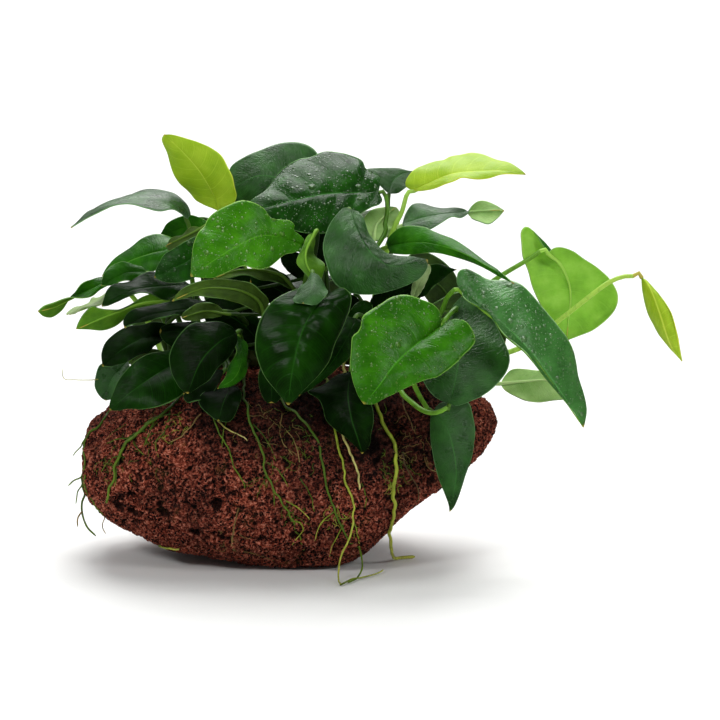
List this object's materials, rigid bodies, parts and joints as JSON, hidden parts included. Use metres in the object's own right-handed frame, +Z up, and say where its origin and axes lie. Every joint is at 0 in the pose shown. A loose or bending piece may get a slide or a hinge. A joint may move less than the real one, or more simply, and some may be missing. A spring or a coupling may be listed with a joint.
{
  "type": "anubias on stone",
  "caption": "Broad-leaved water plant rooted on a porous red-brown lava rock, with a creeping rhizome, long roots over the rock's face and a dense crown of glossy leaves.",
  "frame": {"origin": "middle of the stone's flat foot, on the surface that the stone stands on", "axes": "+X to the right along the stone's length, +Y towards the back, +Z up"},
  "size_m": [0.281, 0.1562, 0.185],
  "materials": {
    "stone": "matte",
    "rhizome": "satin",
    "root": "satin",
    "mature_leaf": "gloss",
    "bright_leaf": "gloss",
    "lime_leaf": "satin",
    "pale_leaf": "satin",
    "olive_leaf": "satin"
  },
  "bodies": {
    "root": {"leaf_arched_left": "mature_leaf", "leaf_back_left_small": "bright_leaf", "leaf_back_top": "mature_leaf", "leaf_bent_centre": "mature_leaf", "leaf_central_dark": "mature_leaf", "leaf_central_left": "mature_leaf", "leaf_central_right": "mature_leaf", "leaf_dark_left_low": "mature_leaf", "leaf_dark_left_mid": "mature_leaf", "leaf_dark_left_upper": "mature_leaf", "leaf_dark_on_rock_left": "mature_leaf", "leaf_folded_rim_left": "mature_leaf", "leaf_glossy_left": "mature_leaf", "leaf_grey_back_right": "mature_leaf", "leaf_hanging_centre": "mature_leaf", "leaf_hanging_right": "mature_leaf", "leaf_heart_front": "bright_leaf", "leaf_inverted_right": "mature_leaf", "leaf_lance_right": "mature_leaf", "leaf_lance_upper": "bright_leaf", "leaf_light_under_left": "olive_leaf", "leaf_lime_right": "lime_leaf", "leaf_lime_top": "lime_leaf", "leaf_olive_arch": "olive_leaf", "leaf_pale_behind": "pale_leaf", "leaf_pale_cordate": "pale_leaf", "leaf_pale_edge_left": "pale_leaf", "leaf_pale_right_low": "pale_leaf", "leaf_rear_left_high": "mature_leaf", "leaf_rear_left_low": "mature_leaf", "leaf_rear_middle": "mature_leaf", "leaf_rear_middle_high": "mature_leaf", "leaf_rear_right": "mature_leaf", "leaf_rear_right_low": "mature_leaf", "leaf_rimmed_left": "mature_leaf", "leaf_rolled_bud": "pale_leaf", "leaf_rolled_centre": "bright_leaf", "leaf_round_dark_left": "mature_leaf", "leaf_round_left": "olive_leaf", "leaf_sheen_centre": "mature_leaf", "leaf_sheen_left_low": "mature_leaf", "leaf_small_upper": "pale_leaf", "leaf_strip_left": "olive_leaf", "leaf_thin_olive": "olive_leaf", "leaf_twisted_left": "mature_leaf", "leaf_twisted_tip_right": "mature_leaf", "leaf_under_round_left": "mature_leaf", "leaf_wet_left_front": "bright_leaf", "leaf_wet_left_low": "mature_leaf", "leaf_wet_top": "mature_leaf", "rhizome": "rhizome", "root_left_edge": "root", "root_left_middle": "root", "root_left_thick": "root", "root_middle": "root", "root_middle_right": "root", "root_right_inner": "root", "root_right_long": "root", "root_right_thick": "root", "stone": "stone"}
  },
  "joints": []
}
